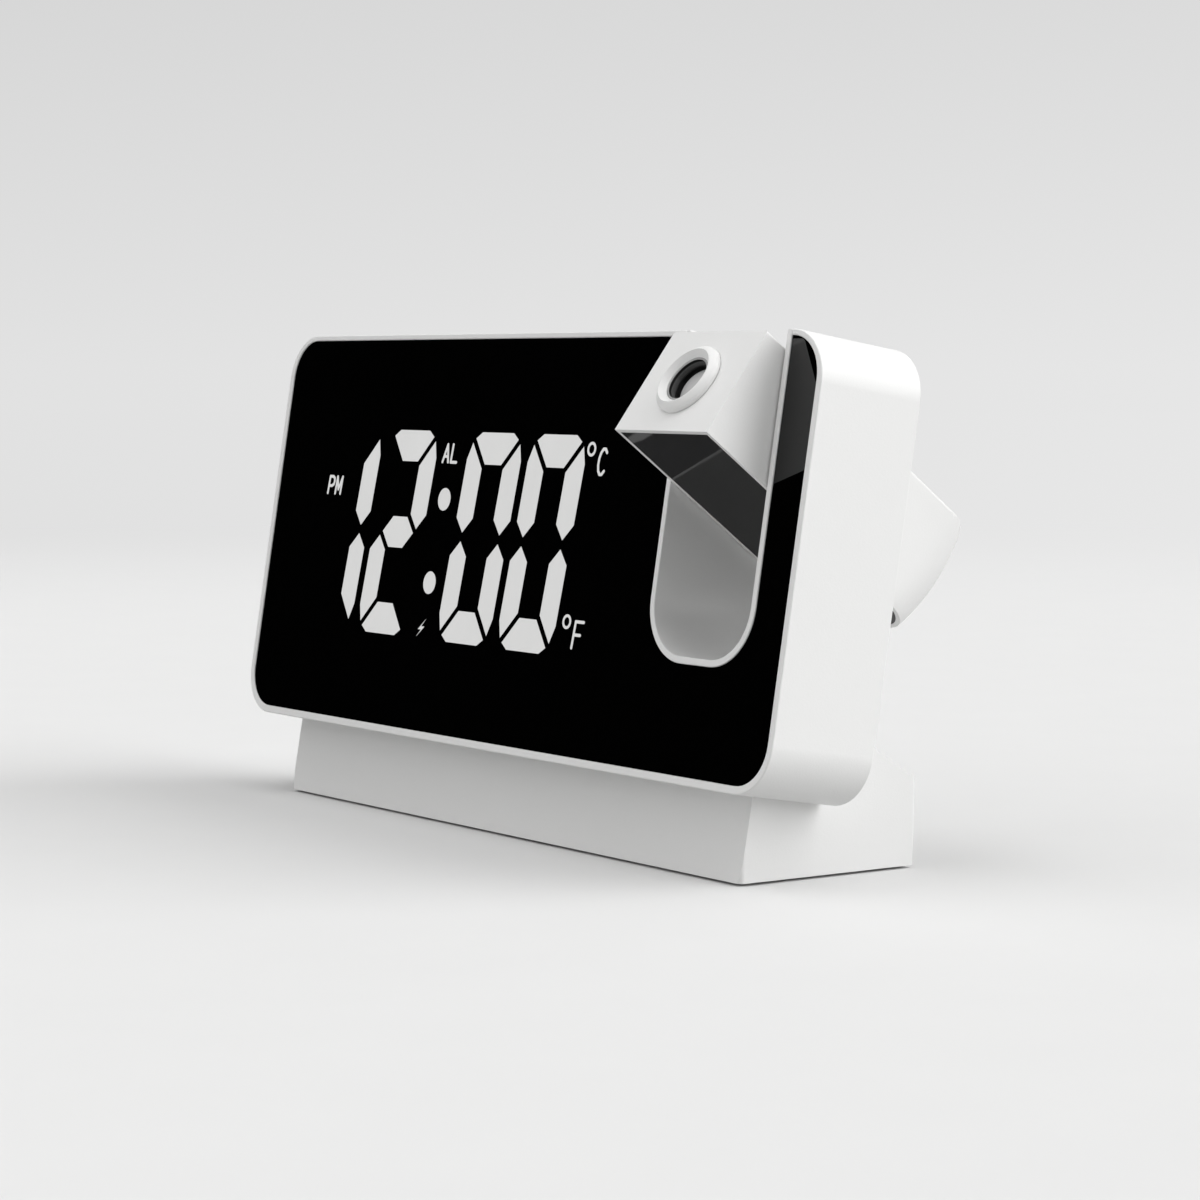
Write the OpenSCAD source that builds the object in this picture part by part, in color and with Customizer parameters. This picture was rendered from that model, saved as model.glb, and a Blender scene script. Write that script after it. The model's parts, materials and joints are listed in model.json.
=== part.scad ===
// Projection alarm clock: a slab body with a mirror window leans back in a wedge base, and a
// projector arm swings in a channel through the body's right part.
// Millimetres, +Z up, the clock's face looks along -Y. The origin is on the resting plane, under
// the middle of the base.

/* [Body] */
// Width of the body
body_w = 185; // [170:1:220]
// Height of the body, measured along its leaning face
body_h = 82; // [78:0.5:100]
// Thickness of the body, from its face to its back
body_d = 22.8; // [22.6:0.1:30]
// Radius of the body's corners, seen from the front
body_r = 9.5; // [8:0.5:14]
// Angle by which the face leans back
lean = 9.34; // [4:0.01:14]
// Height of the body's front lower edge over the resting plane
body_lift = 17.11; // [14:0.01:24]
// How far the body's front lower edge stands ahead of the base's front edge
body_overhang = 4.3; // [2:0.1:8]
// Wall of the housing
housing_wall = 2.2; // [1.8:0.1:2.6]
// Front wall of the housing, behind the window
front_wall = 1.5; // [1.2:0.1:2]
// Rim of the housing that frames the window at its sides and foot
rim_w = 1.5; // [1:0.1:1.7]
// Rim of the housing over the window
rim_top = 1.1; // [0.9:0.1:1.7]
// Thickness of the rear cover
cover_t = 2; // [1.6:0.1:2.2]

/* [Window] */
// Thickness of the window
window_t = 2; // [1.5:0.1:2.4]
// How far the window lies behind the rim's front
window_recess = 0.25; // [0.1:0.05:0.5]
// Thickness of the indicators that are printed on the window
icon_t = 0.05; // [0.02:0.01:0.1]

/* [Display] */
// Digits that are lit, from left to right
time_digits = [1, 2, 0, 0]; // [0:1:9]
// Place of the colon across the body, from the body's middle
display_x = -24.15; // [-30:0.05:-18]
// Height of the digits' foot over the body's lower edge
digit_foot = 19.95; // [18:0.05:22]
// Height of a digit
digit_h = 42.2; // [36:0.1:46]
// Width of a digit
digit_w = 19.5; // [17:0.1:20.5]
// Distance between the two digits of a pair
digit_pitch = 21.9; // [21:0.1:24]
// Distance between the hour pair's middle and the minute pair's
pair_pitch = 52.95; // [50:0.05:56]
// Slant of the digits
digit_slant = 4.5; // [0:0.1:8]
// Stroke of the upright segments
stroke_x = 5.95; // [4.5:0.05:6.5]
// Stroke of the level segments
stroke_y = 6.42; // [4.5:0.02:7]
// Gap between neighbouring segments
segment_gap = 1.22; // [0.8:0.02:1.6]
// Diameter of the colon's dots
dot_d = 4.6; // [3:0.1:5]
// Distance between the colon's dots
dot_pitch = 17; // [14:0.5:20]
// Height of the letters of the indicators
letter_h = 4.15; // [3.5:0.05:5]
// Stroke of the indicators
letter_stroke = 0.6; // [0.5:0.05:0.9]
// Depth of the reflector behind the window
reflector_d = 6.75; // [5:0.05:7]
// Room that the reflector leaves round the digits
reflector_margin = 3.5; // [2.5:0.1:4]

/* [Channel] */
// Width of the projector channel
channel_w = 28.6; // [26:0.1:32]
// Height of the channel's floor over the body's lower edge
channel_floor = 22.8; // [20:0.1:26]
// Radius of the channel's lower corners
channel_r = 10; // [7:0.5:12]
// Wall of the channel liner
liner_wall = 1.3; // [1:0.1:1.6]
// Distance from the liner to the body's right edge
channel_side = 9.95; // [9.9:0.05:12]
// Flange of the liner behind the housing's front wall
liner_flange = 2; // [1:0.1:2.1]
// Thickness of the liner's flange
liner_flange_t = 1.2; // [0.8:0.1:2]
// Length of the liner's bearing bosses
bearing_len = 2.7; // [2:0.1:3]
// Wall of the bearing bosses
bearing_wall = 2; // [1.2:0.1:2.4]

/* [Projector arm] */
// Gap between the arm and the channel on every side
arm_gap = 0.5; // [0.4:0.05:0.8]
// Thickness of the arm
arm_t = 22; // [20:0.1:22.2]
// Distance from the pivot to the lens face
arm_top = 24.3; // [23:0.1:26]
// Distance from the pivot to the mirror plate's face
arm_front = 13.54; // [13:0.02:14]
// How far the stowed arm's mirror lies behind the body's face
arm_recess = 0.15; // [0.1:0.05:0.5]
// How far the stowed arm's lens face stands over the body's top
arm_stow_out = 4.48; // [3:0.02:5]
// Tilt of the arm ahead of its stowed place, as shown
arm_tilt = 62.16; // [0:0.01:90]
// Wall of the arm's shell
arm_wall = 1.6; // [1.2:0.1:2]
// Lip of the shell round the mirror plate
mirror_lip = 0.9; // [0.6:0.05:1.4]
// Thickness of the mirror plate
mirror_t = 1.4; // [1:0.1:2]
// Radius of the arm's long back edges
arm_edge_r = 0.6; // [0.4:0.1:1.5]
// Radius of the arm's heel, between its back and its turned lower end
arm_heel_r = 7.5; // [3:0.5:8]
// Radius of the left trunnion
trunnion_r = 4; // [3.5:0.1:4.5]
// Radius of the wire passage through the left trunnion
trunnion_bore_r = 2.2; // [1.8:0.1:2.6]
// Radius of the right trunnion
pin_r = 3; // [2.5:0.1:3.6]
// Radial clearance of the trunnions in their bearings
bearing_gap = 0.05; // [0.02:0.01:0.08]
// Thickness of the friction washers
washer_t = 0.4; // [0.3:0.05:0.4]
// Thickness of the retaining clips
clip_t = 0.8; // [0.5:0.1:0.9]

/* [Lens] */
// Distance from the mirror plate's face to the lens axis
lens_set = 10.9; // [10:0.1:11.5]
// Outer radius of the focus ring
ring_r = 7.1; // [6.8:0.1:8]
// Height of the focus ring over the lens face
ring_h = 1.9; // [1.7:0.1:2.5]
// Radius of the focus ring's mouth
ring_mouth_r = 5.8; // [5.3:0.1:6]
// Radius of the lens barrel
barrel_r = 4.7; // [4.5:0.1:4.8]
// How far the lens barrel stands over the lens face
barrel_out = 0.7; // [0:0.1:0.7]
// Length of the lens barrel
barrel_len = 11; // [9:0.1:12]
// Radius of the projection lens
lens_r = 3.8; // [3.2:0.1:3.9]

/* [Base] */
// Width of the base
base_w = 159.5; // [150:0.5:168]
// Depth of the base
base_d = 39.5; // [36:0.5:46]
// Height of the base's rear face over the resting plane
base_rear_h = 16.2; // [12:0.1:20]
// How far the rear face leans out at its top
base_rear_lean = 1.1; // [0:0.1:2]
// How far the base reaches up the body's back
cradle_h = 15.5; // [12:0.1:17]
// Setback of the base's front top edge from the body's face
base_set = 7.2; // [6:0.1:9]
// Wall of the base
base_wall = 2.2; // [1.8:0.1:2.6]
// Radius of the base's upright edges
base_r = 1.2; // [0.6:0.1:2]
// Gap under the base's edge
foot_gap = 0.5; // [0.4:0.1:1.5]
// Thickness of the base's bottom cover
base_cover_t = 2; // [1.6:0.1:2.4]
// How far the rubber pad lies inside the base's edge
pad_inset = 5; // [4:0.5:7]
// Distance between the screws that hold the body on the base
base_screw_pitch = 120; // [110:1:125]

/* [Buttons] */
// Length of the snooze bar
snooze_len = 90; // [60:1:92]
// Width of the snooze bar
snooze_w = 7.2; // [6:0.1:8]
// Place of the snooze bar across the body, from the body's middle
snooze_x = -16; // [-18:0.5:-14]
// Travel of the snooze bar
snooze_travel = 0.6; // [0.4:0.05:0.65]
// Radius of a rear button
button_r = 4; // [3.5:0.1:4.5]
// Distance between the rear buttons
button_pitch = 16; // [14:0.5:16]
// Place of the middle rear button across the body
button_x = -4; // [-6:0.5:-2]
// Distance from the rear buttons to the body's top
button_drop = 16; // [15.5:0.5:20]
// How far a rear button stands out of the rear cover
button_out = 0.8; // [0.6:0.1:1.5]
// Travel of a rear button
button_travel = 0.5; // [0.3:0.05:0.55]
// Gap round a button or the snooze bar
button_gap = 0.3; // [0.2:0.05:0.35]

/* [Boards and ports] */
// Thickness of the circuit boards
board_t = 1.5; // [1.2:0.1:1.6]
// Front of the main board, behind the body's face
main_board_w = 14.5; // [14.2:0.1:14.6]
// Distance from the ports to the channel's middle
port_set = 33; // [31:0.5:35]
// Height of the output port over the body's lower edge
usb_v = 32; // [30:0.5:36]
// Height of the power inlet over the body's lower edge
power_v = 46; // [44:0.5:50]
// Distance from the coin cell to the body's left edge
cell_set = 28.5; // [26.5:0.5:29.5]
// Height of the coin cell over the body's lower edge
cell_v = 40; // [36:0.5:44]
// Radius of the coin cell
cell_r = 10; // [8:0.5:10]
// Thickness of the coin cell
cell_t = 3.2; // [2:0.1:3.2]
// Radius of the cell door
door_r = 12; // [11.5:0.1:13]
// Angle that frees the cell door
door_turn = 45; // [30:5:60]

/* [Fits and screws] */
// Gap round pieces that are assembled by hand
fit_gap = 0.1; // [0.05:0.05:0.15]
// Radius of a screw's shank
screw_r = 1; // [0.8:0.05:1.1]
// Radius of a screw's head
screw_head_r = 1.9; // [1.7:0.1:2.1]
// Height of a screw's head
screw_head_h = 1; // [0.8:0.1:1.2]
// Radius of the screw bosses
boss_r = 2.6; // [2.2:0.1:2.6]

/* [Hidden] */
$fn = 72;
// A cut runs this far past the faces that it opens.
past = 1;

// Planes of the body, as depths behind its face
window_back = window_recess + window_t;
wall_back = window_back + front_wall;
cover_front = body_d - cover_t;
display_board_w = window_back + reflector_d;
display_board_back = display_board_w + board_t;
main_board_back = main_board_w + board_t;

// Lower front edge of the body
body_y = -base_d / 2 - body_overhang;

// Digits and indicators
digits_mid = digit_foot + digit_h / 2;
digit_x = [for (pair = [-1, 1], side = [-1, 1]) display_x + pair * pair_pitch / 2
           + side * digit_pitch / 2 - digit_w / 2];
LIT = ["abcdef", "bc", "abdeg", "abcdg", "bcfg", "acdfg", "acdefg", "abc", "abcdefg", "abcdfg"];
reflector_x0 = digit_x[0] - 5 * letter_stroke - reflector_margin;
reflector_x1 = digit_x[3] + digit_w + 2.4 * letter_h + reflector_margin;
reflector_v0 = digit_foot - reflector_margin;
reflector_v1 = digit_foot + digit_h + reflector_margin;

// Channel, liner and arm
channel_x = body_w / 2 - channel_side - liner_wall - channel_w / 2;
pivot_v = body_h + arm_stow_out - arm_top;
pivot_w = arm_recess + arm_front;
arm_w = channel_w - 2 * arm_gap;
arm_reach = pivot_v - channel_floor - arm_gap;
arm_end_r = channel_r - arm_gap;
arm_back = arm_t - arm_front;
lens_t = lens_set - arm_front;

// Places that follow from the body's edges and the channel
button_v = body_h - button_drop;
port_x = channel_x - port_set;
cell_x = cell_set - body_w / 2;

// Focus ring and barrel, along the arm from the pivot
ring_bore_r = barrel_r + bearing_gap;
ring_land = 0.25;
neck_r = ring_bore_r + 1.1;
ring_flange_r = neck_r + 0.8;
ring_flange_t = 1;
ring_foot = arm_top - arm_wall - fit_gap - ring_flange_t;
barrel_top = arm_top + barrel_out;
lens_depth = 3.4;
baffle_step = 0.15;
barrel_foot = barrel_top - barrel_len;

// Projector engine, along the arm from the pivot
focus_travel = 1;
lcd_top = barrel_foot - focus_travel - 0.4;
lcd_t = 1.2;
tunnel_side = 14;
tunnel_wall = 1.4;
tunnel_foot = -7;
led_board_t = 1.2;
condenser_r = 5.2;
condenser_t = 3;

// Base, as points of its outline seen from the side
function leaned_point(w, v) = [body_y + w * cos(lean) + v * sin(lean),
                               body_lift - w * sin(lean) + v * cos(lean)];
base_outline = [[-base_d / 2, foot_gap], [base_d / 2, foot_gap],
                [base_d / 2 + base_rear_lean, base_rear_h],
                leaned_point(body_d, cradle_h), leaned_point(body_d, 0), leaned_point(base_set, 0)];
base_cover_z = foot_gap + 0.2;
base_cover_top = base_cover_z + base_cover_t;
pad_seat = 0.6;
base_cover_in = base_wall + fit_gap;
base_cover_screws_x = [-60, 0, 60];
base_cover_screw_y = base_d / 2 - base_wall - 6;
base_screw_len = 8;

// Screws: [across, up] in the body's frame. The lower rear bosses are sunk into the wall.
boss_sink = 0.8;
rear_screws_at = [[-body_w / 2 + 6.5, 10.5], [-body_w / 2 + 6.5, body_h - 10.5],
                  [body_w / 2 - 5.2, 10.5], [body_w / 2 - 5.2, body_h - 10.5],
                  [-10, housing_wall + boss_r - boss_sink],
                  [44, housing_wall + boss_r - boss_sink]];
display_boss_off = boss_r + 2 * fit_gap;
display_screws_at = [for (x = [reflector_x0 + 3 * boss_r, reflector_x1 - boss_r],
                          v = [reflector_v0 - display_boss_off, reflector_v1 + display_boss_off])
                     [x, v]];
base_screws_at = [for (side = [-1, 1]) side * base_screw_pitch / 2];
base_screw_w = body_d / 2 + 1.5;

// Cell door and its pocket
door_t = 1.8;
lug_r = door_r + 1.8;
lug_t = 0.7;
lug_w0 = cover_front - 0.2 - lug_t;
cell_top = lug_w0 - 0.1;
cup_floor = cell_top - cell_t - 0.4;
cup_r = lug_r + 1.5;

// Main board's edges
main_board_x0 = cell_x + cup_r + 3.5;
main_board_x1 = channel_x - channel_w / 2 - liner_wall - bearing_len - 2.2;
main_board_v0 = 9;
main_board_v1 = body_h - 5;
main_board_size = [main_board_x1 - main_board_x0, main_board_v1 - main_board_v0];
main_screw_in = 4.5;
main_screws_at = [for (x = [main_board_x0 + main_screw_in, main_board_x1 - main_screw_in],
                       v = [main_board_v0 + main_screw_in, main_board_v1 - main_screw_in])
                  [x, v]];

// A place on the main board, from shares of its width and height
function on_board(share) = [main_board_x0 + share[0] * main_board_size[0],
                            main_board_v0 + share[1] * main_board_size[1]];

// Projector lead and the notch that it takes in the main board's edge
cable_r = 0.9;
cable_bend = 2.5;
cable_foot = pivot_v - 8;
cable_notch = 4;

// Rear buttons' places, in the order of their nodes
button_at = [for (i = [-2 : 2]) button_x + i * button_pitch];
button_flange_t = 1;
button_flange_r = button_r + 0.9;
switch_side = 6;

// Snooze bar's planes
snooze_w_mid = body_d / 2;
snooze_flange_t = 1;
snooze_switch_t = 3.6;
snooze_flange_top = body_h - housing_wall - 0.2;

// Ports
usb_size = [13.2, 5.8];
usb_w0 = display_board_back + 0.4;
power_size = [8.9, 3.3];
power_w0 = main_board_w - 3;
shell_t = 0.5;

// ---------------------------------------------------------------- shared shapes

// The body's frame: across, behind the face, up along the face.
module leaned() {
    translate([0, body_y, body_lift]) rotate([-lean, 0, 0]) children();
}

// The arm's frame, at its pivot: across, behind the pivot, along the arm to its lens face.
module on_arm() {
    leaned() translate([channel_x, pivot_w, pivot_v]) rotate([arm_tilt, 0, 0]) children();
}

// The lens axis, in the arm's frame.
module on_lens() {
    on_arm() translate([0, lens_t, 0]) children();
}

// A drawing on the face, made solid between two depths.
module slab(w0, w1) {
    translate([0, w1, 0]) rotate([90, 0, 0]) linear_extrude(w1 - w0) children();
}

// A round bar between two depths.
module rod(x, v, r, w0, w1) {
    translate([x, w1, v]) rotate([90, 0, 0]) cylinder(r = r, h = w1 - w0);
}

// A rectangle with round corners, between two corners.
module round_rect(x0, x1, y0, y1, r) {
    translate([x0 + r, y0]) square([x1 - x0 - 2 * r, y1 - y0]);
    translate([x0, y0 + r]) square([x1 - x0, y1 - y0 - 2 * r]);
    for (x = [x0 + r, x1 - r], y = [y0 + r, y1 - r]) translate([x, y]) circle(r);
}

// The body's outline, drawn in by a distance.
module body_outline(in) {
    round_rect(-body_w / 2 + in, body_w / 2 - in, in, body_h - in, body_r - in);
}

// The window's outline, drawn in by a gap.
module window_outline(gap) {
    round_rect(-body_w / 2 + rim_w + gap, body_w / 2 - rim_w - gap, rim_w + gap,
               body_h - rim_top - gap, body_r - rim_w - gap);
}

// The channel's outline, grown by a distance and open at the top.
module channel_outline(grow) {
    half = channel_w / 2 + grow;
    foot = channel_floor - grow;
    r = channel_r + grow;
    translate([channel_x, 0]) {
        translate([-half, foot + r]) square([2 * half, body_h + past - foot - r]);
        translate([-half + r, foot]) square([2 * (half - r), r + past]);
        for (side = [-1, 1]) translate([side * (half - r), foot + r]) circle(r);
    }
}

// A corner of an outline, moved in by a distance from both of its edges.
function unit(a) = a / norm(a);
function inward(a) = [-a[1], a[0]];
function drawn_in_corner(before, here, after, in) =
    let (n = inward(unit(here - before)), m = inward(unit(after - here)))
    here + in * (n + m) / (1 + n * m);
function drawn_in(outline, in) = [for (i = [0 : len(outline) - 1]) drawn_in_corner(
    outline[(i + len(outline) - 1) % len(outline)], outline[i],
    outline[(i + 1) % len(outline)], in)];

// A pan-head screw whose head sits on a plane, its shank running towards the face.
module screw(x, v, w, shank) {
    rod(x, v, screw_r, w - shank, w);
    difference() {
        rod(x, v, screw_head_r, w, w + screw_head_h);
        for (turn = [0, 90])
            translate([x, w + screw_head_h, v]) rotate([0, turn, 0])
                cube([2 * screw_r, screw_head_h, 0.5], center = true);
    }
}

// ---------------------------------------------------------------- display drawings

function slanted(p) = [p[0] + (p[1] - digits_mid) * tan(digit_slant), p[1]];

// One segment of a digit whose lower left corner is at [0, 0]. The upper ones are drawn, and
// the lower ones are their mirror image.
function upper_segment(name) =
    let (w = digit_w, h = digit_h, mid = digit_h / 2, s = stroke_x, t = stroke_y,
         g = segment_gap / 2 * sqrt(0.5), cut = 1.7, tip = s / 2)
    name == "a" ? [[cut + g, h - cut + g], [cut + g + 2, h], [w - cut - g - 2, h],
                   [w - cut - g, h - cut + g], [w - s - 2 * g, h - t], [s + 2 * g, h - t]]
    : name == "f" ? [[tip, mid + 2 * g], [s, mid + 2 * g + tip], [s, h - t - 2 * g],
                     [cut - g, h - cut - g], [0, h - cut - g - 3.4], [0, mid + 2 * g + tip]]
    : [[tip + 2 * g, mid], [tip + 2 * g + t / 2, mid + t / 2], [w - tip - 2 * g - t / 2, mid + t / 2],
       [w - tip - 2 * g, mid], [w - tip - 2 * g - t / 2, mid - t / 2],
       [tip + 2 * g + t / 2, mid - t / 2]];
function flip_x(points) = [for (p = points) [digit_w - p[0], p[1]]];
function flip_y(points) = [for (p = points) [p[0], digit_h - p[1]]];
function segment(name) =
    name == "b" ? flip_x(upper_segment("f"))
    : name == "c" ? flip_y(flip_x(upper_segment("f")))
    : name == "d" ? flip_y(upper_segment("a"))
    : name == "e" ? flip_y(upper_segment("f"))
    : upper_segment(name);

module digit(names, x) {
    for (name = names)
        polygon([for (p = segment(name)) slanted([x + p[0], digit_foot + p[1]])]);
}

module digits_drawing(first, last) {
    for (i = [first : last]) digit(LIT[time_digits[i]], digit_x[i]);
}

module colon_drawing() {
    for (side = [-1, 1])
        translate(slanted([display_x, digits_mid - 1.2 + side * dot_pitch / 2])) circle(d = dot_d);
}

// A bent line of even stroke with round ends. Its points are shares of a letter's size.
module line(points, at, size) {
    places = [for (p = points) slanted([at[0] + p[0] * size[0], at[1] + p[1] * size[1]])];
    for (i = [0 : len(places) - 2]) {
        run = places[i + 1] - places[i];
        translate(places[i]) rotate(atan2(run[1], run[0])) translate([0, -letter_stroke / 2])
            square([norm(run), letter_stroke]);
    }
    for (p = places) translate(p) circle(d = letter_stroke);
}

BOWL = [[0, 1], [0.6, 1], [0.92, 0.9], [1, 0.72], [0.92, 0.54], [0.6, 0.44], [0, 0.44]];
OPEN_OVAL = [for (a = [45 : 30 : 315]) [0.5 + 0.5 * cos(a), 0.5 + 0.5 * sin(a)]];

module letter(name, at, size) {
    if (name == "P") { line([[0, 0], [0, 1]], at, size); line(BOWL, at, size); }
    if (name == "M") line([[0, 0], [0, 1], [0.5, 0.25], [1, 1], [1, 0]], at, size);
    if (name == "A") {
        line([[0, 0], [0.5, 1], [1, 0]], at, size);
        line([[0.2, 0.32], [0.8, 0.32]], at, size);
    }
    if (name == "L") line([[0, 1], [0, 0], [1, 0]], at, size);
    if (name == "C") line(OPEN_OVAL, at, size);
    if (name == "F") {
        line([[0, 0], [0, 1], [1, 1]], at, size);
        line([[0, 0.5], [0.8, 0.5]], at, size);
    }
}

module pair_of_letters(names, at) {
    size = [0.5 * letter_h, letter_h - letter_stroke];
    for (i = [0, 1]) letter(names[i], at + [i * 0.74 * letter_h, 0], size);
}

module degree_mark(name, at) {
    size = [0.63 * letter_h, 1.35 * letter_h - letter_stroke];
    letter(name, at + [0.65 * letter_h, 0], size);
    translate(slanted(at + [-0.07 * letter_h, 1.16 * letter_h])) difference() {
        circle(d = 0.68 * letter_h);
        circle(d = 0.68 * letter_h - 1.8 * letter_stroke);
    }
}

module bolt_mark(at) {
    h = 0.87 * letter_h;
    polygon([for (p = [[0.35, 0.5], [-0.3, -0.1], [0.02, -0.1], [-0.35, -0.5], [0.32, 0.08],
                       [-0.02, 0.08]]) slanted(at + h * p)]);
}

// Where the indicators stand
pm_at = [digit_x[0] + 0.7, digits_mid + 7.15];
alarm_at = [display_x - 3.15, digits_mid + 14.85];
bolt_at = [display_x - 0.1, digits_mid - 18.9];
celsius_at = [digit_x[3] + digit_w + 1.75, digits_mid + 13.7];
fahrenheit_at = [digit_x[3] + digit_w + 3.75, digits_mid - 19.2];

module icons_drawing() {
    pair_of_letters("PM", pm_at);
    pair_of_letters("AL", alarm_at);
    bolt_mark(bolt_at);
    degree_mark("C", celsius_at);
    degree_mark("F", fahrenheit_at);
}

// ---------------------------------------------------------------- body

module main_housing() {
    color("white") leaned() difference() {
        union() {
            slab(0, body_d) difference() {
                body_outline(0);
                body_outline(housing_wall);
            }
            slab(window_back, wall_back) body_outline(housing_wall / 2);
            for (at = rear_screws_at) rod(at[0], at[1], boss_r, wall_back - past, cover_front);
            for (at = display_screws_at)
                rod(at[0], at[1], boss_r, wall_back - past, display_board_w);
            for (x = base_screws_at)
                translate([x, base_screw_w, housing_wall / 2]) cylinder(r = boss_r, h = 7);
        }
        slab(-past, window_back) window_outline(0);
        slab(cover_front, body_d + past) body_outline(rim_w);
        slab(-past, body_d + past) channel_outline(liner_wall + fit_gap / 2);
        slab(window_back - past, wall_back + past)
            translate([reflector_x0 - fit_gap, reflector_v0 - fit_gap])
            square([reflector_x1 - reflector_x0 + 2 * fit_gap,
                    reflector_v1 - reflector_v0 + 2 * fit_gap]);
        for (at = rear_screws_at)
            rod(at[0], at[1], screw_r + 0.05, wall_back + past, cover_front + past);
        for (at = display_screws_at)
            rod(at[0], at[1], screw_r + 0.05, wall_back, display_board_w + past);
        for (x = base_screws_at)
            translate([x, base_screw_w, -past]) cylinder(r = screw_r + 0.05, h = 7.5);
        snooze_shape(button_gap, body_h - housing_wall - past, housing_wall + 2 * past);
    }
}

module display_window() {
    color([0.02, 0.02, 0.02]) leaned() slab(window_recess, window_back) difference() {
        window_outline(fit_gap / 2);
        channel_outline(liner_wall + fit_gap / 2);
        digits_drawing(0, 3);
        colon_drawing();
    }
}

module hour_segments() {
    color("white") leaned() slab(window_recess, window_back) digits_drawing(0, 1);
}

module minute_segments() {
    color("white") leaned() slab(window_recess, window_back) digits_drawing(2, 3);
}

module colon_dots() {
    color("white") leaned() slab(window_recess, window_back) colon_drawing();
}

module status_icons() {
    color("white") leaned() slab(window_recess - icon_t, window_recess) icons_drawing();
}

// Centres of the reflector's wells for the indicators
icon_wells = [pm_at + [3, 2], alarm_at + [3, 2], bolt_at, celsius_at + [4, 2.5],
              fahrenheit_at + [3.6, 2.5]];

module segment_reflector() {
    color("white") leaned() slab(window_back, display_board_w) difference() {
        translate([reflector_x0, reflector_v0])
            square([reflector_x1 - reflector_x0, reflector_v1 - reflector_v0]);
        for (x = digit_x) digit("abcdefg", x);
        colon_drawing();
        for (at = icon_wells) translate(slanted(at)) square([5, 4], center = true);
    }
}

module display_board() {
    color("darkgreen") leaned() slab(display_board_w, display_board_back) difference() {
        union() {
            translate([reflector_x0, reflector_v0])
                square([reflector_x1 - reflector_x0, reflector_v1 - reflector_v0]);
            for (at = display_screws_at) {
                translate(at) circle(boss_r);
                translate([at[0] - boss_r, min(at[1], digits_mid)])
                    square([2 * boss_r, abs(at[1] - digits_mid)]);
            }
        }
        for (at = display_screws_at) translate(at) circle(screw_r + 0.2);
    }
}

// A point in the middle of a segment
function middle(points) = [for (k = [0, 1]) [for (p = points) p[k]] * [for (p = points) 1]
                                            / len(points)];

module display_leds() {
    chip = [2, 0.8, 1.4];
    places = [for (x = digit_x, name = "abcdefg") [x, digit_foot] + middle(segment(name))];
    dots = [for (side = [-1, 1]) [display_x, digits_mid - 1.2 + side * dot_pitch / 2]];
    color("lightyellow") leaned()
        for (at = [for (p = concat(places, dots, icon_wells)) slanted(p)])
            translate([at[0], display_board_w - chip[1] / 2, at[1]]) cube(chip, center = true);
}

module display_screws() {
    color("silver") leaned()
        for (at = display_screws_at) screw(at[0], at[1], display_board_back, 6);
}

module channel_liner() {
    color("white") leaned() difference() {
        union() {
            slab(0, body_d) intersection() {
                difference() {
                    channel_outline(liner_wall);
                    channel_outline(0);
                }
                square([body_w / 2, body_h]);
            }
            slab(wall_back, wall_back + liner_flange_t) intersection() {
                difference() {
                    channel_outline(liner_wall + liner_flange);
                    channel_outline(0);
                }
                square([body_w / 2, body_h - housing_wall - fit_gap]);
            }
            translate([channel_x - channel_w / 2 - liner_wall - bearing_len, pivot_w, pivot_v])
                rotate([0, 90, 0]) cylinder(r = trunnion_r + bearing_wall,
                                            h = bearing_len + liner_wall / 2);
            translate([channel_x + channel_w / 2 + liner_wall / 2, pivot_w, pivot_v])
                rotate([0, 90, 0]) cylinder(r = pin_r + bearing_wall,
                                            h = bearing_len + liner_wall / 2);
        }
        translate([channel_x - channel_w, pivot_w, pivot_v]) rotate([0, 90, 0])
            cylinder(r = trunnion_r + bearing_gap, h = channel_w);
        translate([channel_x, pivot_w, pivot_v]) rotate([0, 90, 0])
            cylinder(r = pin_r + bearing_gap, h = channel_w);
    }
}

module vent_drawing() {
    for (i = [0 : 4]) translate([cell_x - 8 + 4 * i, button_v - 4]) {
        translate([-0.7, 0]) square([1.4, 7]);
        for (v = [0, 7]) translate([0, v]) circle(0.7);
    }
}

module rear_cover() {
    color("white") leaned() {
        difference() {
            slab(cover_front, body_d) difference() {
                body_outline(rim_w + fit_gap);
                channel_outline(liner_wall + fit_gap);
                for (at = rear_screws_at) translate(at) circle(screw_r + 0.2);
                for (x = button_at) translate([x, button_v]) circle(button_r + button_gap);
                translate([port_x, usb_v]) square(usb_size + 2 * [fit_gap, fit_gap], center = true);
                port_outline(power_size + 2 * [fit_gap, fit_gap]);
                translate([cell_x, cell_v]) {
                    circle(door_r + button_gap);
                    rotate(-door_turn) square([2 * (lug_r + button_gap), 7], center = true);
                }
                vent_drawing();
            }
            for (at = rear_screws_at)
                rod(at[0], at[1], screw_head_r + 0.2, body_d - screw_head_h, body_d + past);
        }
        difference() {
            rod(cell_x, cell_v, cup_r, cup_floor - 1, cover_front);
            rod(cell_x, cell_v, cell_r + button_gap, cup_floor, body_d);
            rod(cell_x, cell_v, lug_r + button_gap, lug_w0 - 0.2, body_d);
        }
        for (at = main_screws_at) difference() {
            rod(at[0], at[1], boss_r, main_board_back, cover_front);
            rod(at[0], at[1], screw_r + 0.05, main_board_w, cover_front - 0.3);
        }
    }
}

// The power inlet's outline: a flat slot with round ends.
module port_outline(size) {
    translate([port_x, power_v]) {
        square([size[0] - size[1], size[1]], center = true);
        for (side = [-1, 1]) translate([side * (size[0] - size[1]) / 2, 0]) circle(d = size[1]);
    }
}

module rear_screws() {
    color("silver") leaned()
        for (at = rear_screws_at) screw(at[0], at[1], body_d - screw_head_h, 9);
}

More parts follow.
